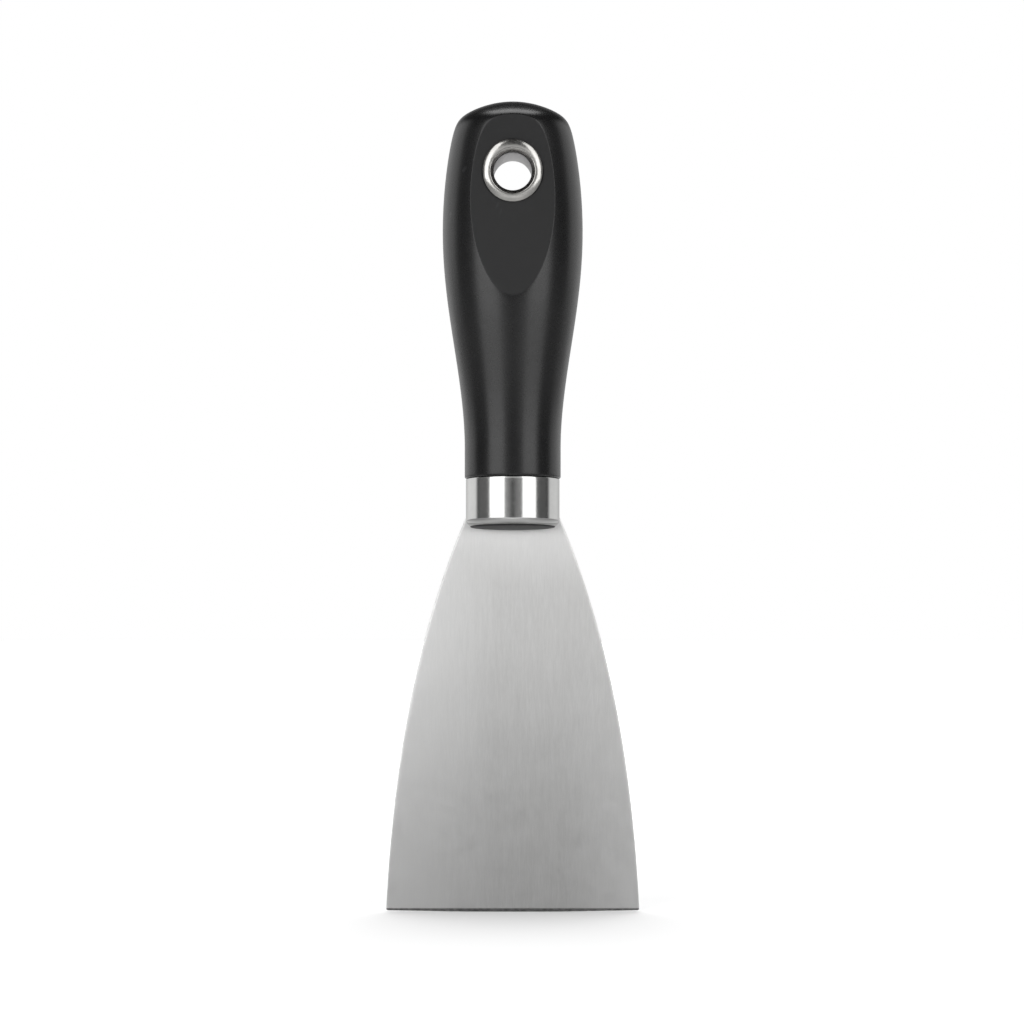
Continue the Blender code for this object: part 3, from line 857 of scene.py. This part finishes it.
def brushed_blade_steel():
    material, tree, shader, place = start_finish("brushed_blade_steel", Metallic=1.0,
                                                 Anisotropic=0.96)
    streaks = place_group(tree, streaks_group, Vector=place, Across=1400.0, Along=130.0)
    clouds = place_group(tree, clouds_group, Vector=place, Scale=45.0)
    edges = place_group(tree, edge_wear_group, Vector=place, Start=0.51, Full=0.60, Breakup=500.0)
    ground = blend_colours(tree, streaks["Streaks"], (0.620, 0.620, 0.615), (0.700, 0.700, 0.695))
    hair_mask = times(tree, streaks["Hairs"], 0.5)
    hairs = blend_colours(tree, hair_mask, ground, (0.54, 0.54, 0.535))
    cloud_mask = times(tree, clouds["Broad"], 0.35)
    clouded = blend_colours(tree, cloud_mask, hairs, (0.64, 0.635, 0.625))
    x, _, z = separate(tree, place)
    # Painted sheen: these masks blend the steel towards a paler colour at its sides and its top.
    sheen_right_and_low = times(tree, map_range(tree, x, *PAINTED_SHEEN_RIGHT), map_range(tree, z, *PAINTED_SHEEN_LOW))
    sides = math_node(tree, "MAXIMUM", map_range(tree, x, *PAINTED_SHEEN_LEFT), sheen_right_and_low)
    painted_sheen_mask = math_node(tree, "MAXIMUM", sides, map_range(tree, z, *PAINTED_SHEEN_TOP))
    painted_sheen_steel = blend_colours(tree, painted_sheen_mask, clouded, (0.84, 0.84, 0.835))
    bright = blend_colours(tree, edges["Wear"], painted_sheen_steel, (0.88, 0.88, 0.87))
    # Painted shade along the working edge, broken up by noise into a few brighter spots.
    bevel = map_range(tree, z, *PAINTED_EDGE_SHADE)
    edge_shade_breakup = noise(tree, place, 900.0, detail=3.0)
    dark = times(tree, bevel, map_range(tree, edge_shade_breakup, 0.35, 0.7, 1.0, 0.75))
    wire(tree, blend_colours(tree, dark, bright, (0.21, 0.21, 0.208)), shader.inputs["Base Color"])
    gloss = map_range(tree, streaks["Hairs"], 0.0, 1.0, 0.32, 0.38)
    smudge = map_range(tree, clouds["Fine"], 0.0, 1.0, -0.02, 0.02)
    wire(tree, math_node(tree, "ADD", gloss, smudge), shader.inputs["Roughness"])
    wide = relief(tree, streaks["Streaks"], 0.000006)
    wire(tree, relief(tree, streaks["Hairs"], 0.000003, wide), shader.inputs["Normal"])
    tangent = add_node(tree, "ShaderNodeTangent", direction_type="RADIAL", axis="Z")
    wire(tree, tangent.outputs[0], shader.inputs["Tangent"])
    return material


dress(blade_piece, brushed_blade_steel())

# %% [markdown]
# ### Polished ferrule plating
#
# The ferrule is polished and plated, so it mirrors the studio in upright bands. Close up it still
# shows the rings of the polishing wheel, a few hairlines and a light bloom.

# %% Finish of the ferrule
def polished_ferrule_plating():
    material, tree, shader, place = start_finish("polished_ferrule_plating", Metallic=1.0)
    upright = add_node(tree, "ShaderNodeMapping")
    upright.inputs["Rotation"].default_value = (0.0, math.pi / 2, 0.0)
    wire(tree, place, upright.inputs["Vector"])
    rings = place_group(tree, streaks_group, Vector=upright.outputs[0], Across=2200.0, Along=90.0)
    clouds = place_group(tree, clouds_group, Vector=place, Scale=160.0)
    plated = blend_colours(tree, clouds["Broad"], (0.535, 0.535, 0.53), (0.585, 0.585, 0.575))
    wire(tree, plated, shader.inputs["Base Color"])
    bloom = map_range(tree, clouds["Fine"], 0.0, 1.0, 0.12, 0.17)
    wheel = map_range(tree, rings["Hairs"], 0.0, 1.0, -0.01, 0.02)
    wire(tree, math_node(tree, "ADD", bloom, wheel), shader.inputs["Roughness"])
    wire(tree, relief(tree, rings["Streaks"], 0.0000008), shader.inputs["Normal"])
    return material


dress(ferrule_piece, polished_ferrule_plating())

# %% [markdown]
# ### Nickel of the eyelet
#
# The eyelet is stamped from soft plated strip, and its rolled bead is never quite even: the plating
# is sandy where the metal was stretched, and dull patches sit beside bright ones.

# %% Finish of the eyelet
# Where the painted shade inside the bore starts and is full: from, to, and its values at both.
INSIDE_OF_BORE = (BORE + 0.00004, BORE + 0.00022, 1.0, 0.0)


def eyelet_nickel():
    material, tree, shader, place = start_finish("eyelet_nickel", Metallic=1.0)
    clouds = place_group(tree, clouds_group, Vector=place, Scale=420.0)
    sand = noise(tree, place, 6500.0, detail=3.0, roughness=0.65)
    tone = blend_colours(tree, clouds["Broad"], (0.41, 0.405, 0.39), (0.52, 0.51, 0.49))
    grime = times(tree, map_range(tree, sand, 0.35, 0.6, 1.0, 0.0), 0.25)
    plated = blend_colours(tree, grime, tone, (0.40, 0.39, 0.38))
    x, _, z = separate(tree, place)
    from_axis = add_node(tree, "ShaderNodeCombineXYZ")
    wire(tree, x, from_axis.inputs[0])
    wire(tree, z, from_axis.inputs[2])
    radius = add_node(tree, "ShaderNodeVectorMath", operation="LENGTH")
    wire(tree, from_axis.outputs[0], radius.inputs[0])
    # Painted shade: inside the bore the colour turns darker, and the roughness rises.
    inside = map_range(tree, radius.outputs["Value"], *INSIDE_OF_BORE)
    bore_shade_colour = blend_colours(tree, clouds["Fine"], (0.24, 0.235, 0.235), (0.42, 0.41, 0.41))
    wire(tree, blend_colours(tree, inside, plated, bore_shade_colour), shader.inputs["Base Color"])
    gloss = map_range(tree, clouds["Fine"], 0.0, 1.0, 0.16, 0.25)
    rough_inside = times(tree, inside, 0.17)
    wire(tree, math_node(tree, "ADD", gloss, rough_inside), shader.inputs["Roughness"])
    dents = relief(tree, clouds["Broad"], 0.00002)
    wire(tree, relief(tree, sand, 0.000003, dents), shader.inputs["Normal"])
    return material


dress(eyelet_piece, eyelet_nickel())

# %% [markdown]
# ## Floor, lights and camera
#
# The knife rests on its edge on a white table and leans back a little, in front of a white wall. In
# the frame the knife is upright, so here it is the table that is tilted. Two tall soft lights stand
# left and right of the camera, and a wide one hangs behind the knife, above it. The metal mirrors
# that room: bright boxes left and right, a dark gap where the camera stands, dark again at the
# sides, and the pale wall behind. Far from the knife the table glows white. Near it the lights
# make it white, so that the shadow shows, and in polished metal it is dimmer.

# %% Floor
TABLE_FRONT, TABLE_BACK, TABLE_HALF_WIDTH = -2.0, 0.5, 2.0
TABLE_TILT = math.radians(10.5)
TABLE_GLOW = 0.08
TABLE_COLOUR = 0.80
# From, to, and the values at both
FAR_GLOW, BACK_GLOW = (0.33, 0.65, TABLE_GLOW, 1.0), (0.02, 0.20, TABLE_GLOW, 0.6)
MIRRORED_TABLE_LOSS = (0.08, 0.35, 0.42, 0.75)


def backdrop_rays(tree):
    """Light Path's mask for what the camera sees straight, in polished metal or through glass."""
    path = add_node(tree, "ShaderNodeLightPath").outputs
    straight = math_node(tree, "MAXIMUM", path["Is Camera Ray"], path["Is Glossy Ray"])
    return math_node(tree, "MAXIMUM", straight, path["Is Transmission Ray"])


def paint(tree, tone):
    """A Diffuse shader of one grey."""
    node = add_node(tree, "ShaderNodeBsdfDiffuse")
    node.inputs["Color"].default_value = (tone, tone, tone, 1.0)
    return node.outputs[0]


def mix_shaders(tree, mask, first, second):
    """A Mix Shader node: the first shader where the mask is 0, the second where it is 1."""
    node = add_node(tree, "ShaderNodeMixShader")
    for source, target in zip((mask, first, second), node.inputs):
        tree.links.new(source, target)
    return node.outputs[0]


def table_finish():
    """For the rays of the backdrop, pale paint that glows more with the distance from the knife and
    behind it, and that polished metal mirrors darker, most of all at the sides. For the rest, plain
    pale paint. From below, the table isn't there for the camera."""
    material = bpy.data.materials.new("white_table")
    material.use_nodes = True
    tree = material.node_tree
    tree.nodes.clear()
    glow = add_node(tree, "ShaderNodeEmission")
    place = add_node(tree, "ShaderNodeTexCoord").outputs["Object"]
    x, y, _ = separate(tree, place)
    away = add_node(tree, "ShaderNodeVectorMath", operation="LENGTH")
    wire(tree, place, away.inputs[0])
    far_glow = map_range(tree, away.outputs["Value"], *FAR_GLOW)
    back_glow = map_range(tree, y, *BACK_GLOW)
    wire(tree, math_node(tree, "MAXIMUM", far_glow, back_glow), glow.inputs["Strength"])
    both = add_node(tree, "ShaderNodeAddShader")
    tree.links.new(glow.outputs[0], both.inputs[0])
    tree.links.new(paint(tree, TABLE_COLOUR), both.inputs[1])
    path = add_node(tree, "ShaderNodeLightPath").outputs
    loss = map_range(tree, math_node(tree, "ABSOLUTE", x), *MIRRORED_TABLE_LOSS)
    mirrored = mix_shaders(tree, times(tree, path["Is Glossy Ray"], loss), both.outputs[0],
                           paint(tree, 0.0))
    seen = mix_shaders(tree, backdrop_rays(tree), paint(tree, TABLE_COLOUR), mirrored)
    backfacing = add_node(tree, "ShaderNodeNewGeometry").outputs["Backfacing"]
    nothing = add_node(tree, "ShaderNodeBsdfTransparent").outputs[0]
    shown = mix_shaders(tree, times(tree, backfacing, path["Is Camera Ray"]), seen, nothing)
    tree.links.new(shown, add_node(tree, "ShaderNodeOutputMaterial").inputs[0])
    return material


table_y = np.array([TABLE_FRONT, TABLE_FRONT, TABLE_BACK, TABLE_BACK])
table_x = TABLE_HALF_WIDTH * np.array([-1, 1, 1, -1])
table_points = np.stack([table_x, table_y, EDGE + table_y * math.tan(TABLE_TILT)], -1)
table_mesh = bpy.data.meshes.new("white_table")
table_mesh.from_pydata(table_points.tolist(), [], [(0, 1, 2, 3)])
table_mesh.materials.append(table_finish())
table = bpy.data.objects.new("white_table", table_mesh)
bpy.context.scene.collection.objects.link(table)
print("table: tilted", round(math.degrees(TABLE_TILT), 1), "degrees through the working edge")

# %% Lights
AIM = Vector((0.0, 0.0, -0.06))
SIDE_AIM = Vector((0.0, 0.0, 0.345))


def soft_light(name, azimuth, elevation, distance, width, height, radiance, aim=AIM):
    """A rectangular light that shines at the knife. Azimuth 0 is the camera's side, and its power
    is four times radiance times area, so that it looks as bright as written."""
    around, above = math.radians(azimuth), math.radians(elevation)
    light = bpy.data.lights.new(name, "AREA")
    light.shape, light.size, light.size_y = "RECTANGLE", width, height
    light.energy = 4 * radiance * width * height
    lamp = bpy.data.objects.new(name, light)
    direction = Vector((math.sin(around) * math.cos(above), -math.cos(around) * math.cos(above),
                        math.sin(above)))
    lamp.location = aim + direction * distance
    lamp.rotation_euler = direction.to_track_quat("Z", "Y").to_euler()
    lamp.visible_camera = False
    bpy.context.scene.collection.objects.link(lamp)
    print(name, "at", [round(value, 3) for value in lamp.location], "W", round(light.energy, 2))
    return lamp


soft_light("left_softbox", -39.2, 0, 0.60, 0.415, 0.90, 1.50, SIDE_AIM)
soft_light("right_softbox", 41.4, 0, 0.66, 0.415, 0.90, 1.50, SIDE_AIM)
soft_light("top_softbox", 180, 71.5, 0.90, 0.56, 0.34, 2.35)

# %% World
def studio_world():
    """White to the camera. In reflections, a pale wall behind the knife, 25 degrees high in the
    middle and 45 at the sides, and in front a dim room: darker behind the lens, at its far sides
    and towards the ceiling, with a pale patch over the lens and a pale strip under it. For the
    rest, a soft fill that is stronger from behind."""
    world = bpy.data.worlds.new("white_studio")
    world.use_nodes = True
    tree = world.node_tree
    background = tree.nodes["Background"]
    background.inputs["Color"].default_value = (1.0, 1.0, 1.0, 1.0)
    east, north, height = separate(tree, add_node(tree, "ShaderNodeTexCoord").outputs["Generated"])
    sideways = math_node(tree, "ABSOLUTE", east)
    behind = map_range(tree, north, 0.10, 0.26)
    wall_top = map_range(tree, sideways, 0.45, 0.72, 0.42, 0.70)
    wall_fades = math_node(tree, "SUBTRACT", wall_top, 0.24)
    wall_rise = map_range(tree, height, wall_fades, wall_top, 1.0, 0.0)
    wall_tone = map_range(tree, sideways, 0.38, 0.70, 0.68, 1.0)
    wall_side = map_range(tree, east, -0.5, 0.5, 1.05, 0.93)
    wall = times(tree, times(tree, behind, wall_rise), times(tree, wall_tone, wall_side))
    front = times(tree, map_range(tree, east, -0.2, 0.2, 0.38, 0.30),
                  map_range(tree, sideways, 0.02, 0.26, 0.26, 1.0))
    patch_end = times(tree, map_range(tree, height, 0.38, 0.52, 1.0, 0.0),
                      map_range(tree, sideways, 0.40, 0.65, 1.0, 0.2))
    over_lens = times(tree, map_range(tree, height, 0.12, 0.22, 0.0, 0.6), patch_end)
    under_lens = times(tree, map_range(tree, height, -0.13, -0.01, 1.0, 0.0),
                       map_range(tree, sideways, 0.10, 0.40, 0.55, 1.10))
    ceiling = map_range(tree, height, 0.30, 0.55, 1.0, 0.32)
    ahead = math_node(tree, "ADD", times(tree, front, ceiling),
                      math_node(tree, "ADD", over_lens, under_lens))
    room = times(tree, ahead, map_range(tree, sideways, 0.84, 0.92, 1.0, 0.42))
    front_only = times(tree, room, map_range(tree, north, -0.05, 0.15, 1.0, 0.45))
    seen = math_node(tree, "MAXIMUM", wall, front_only)
    path = add_node(tree, "ShaderNodeLightPath").outputs
    fill_tone = map_range(tree, north, -0.25, 0.15, 0.1, 1.7)
    fill = times(tree, path["Is Diffuse Ray"], fill_tone)
    glossy = times(tree, path["Is Glossy Ray"], seen)
    direct = math_node(tree, "MAXIMUM", path["Is Camera Ray"], path["Is Transmission Ray"])
    total = math_node(tree, "ADD", math_node(tree, "ADD", direct, glossy), fill)
    wire(tree, total, background.inputs["Strength"])
    bpy.context.scene.world = world


studio_world()
bpy.context.scene.view_settings.view_transform = "Standard"

# %% Camera
CAMERA_DISTANCE = 3.0
CAMERA_BELOW = math.radians(3.866)
FRAME_MIDDLE = Vector((-0.00017, 0.0, -0.0802))
FRAME_WIDTH = 0.2432
SENSOR = 36.0

camera_data = bpy.data.cameras.new("front_camera")
camera = bpy.data.objects.new("front_camera", camera_data)
line_of_sight = Vector((0.0, math.cos(CAMERA_BELOW), math.sin(CAMERA_BELOW)))
camera.location = FRAME_MIDDLE - line_of_sight * CAMERA_DISTANCE
camera.rotation_euler = line_of_sight.to_track_quat("-Z", "Y").to_euler()
camera_data.sensor_width = SENSOR
camera_data.lens = SENSOR * CAMERA_DISTANCE / FRAME_WIDTH
bpy.context.scene.collection.objects.link(camera)
bpy.context.scene.camera = camera
print("lens", round(camera_data.lens, 2), "mm")
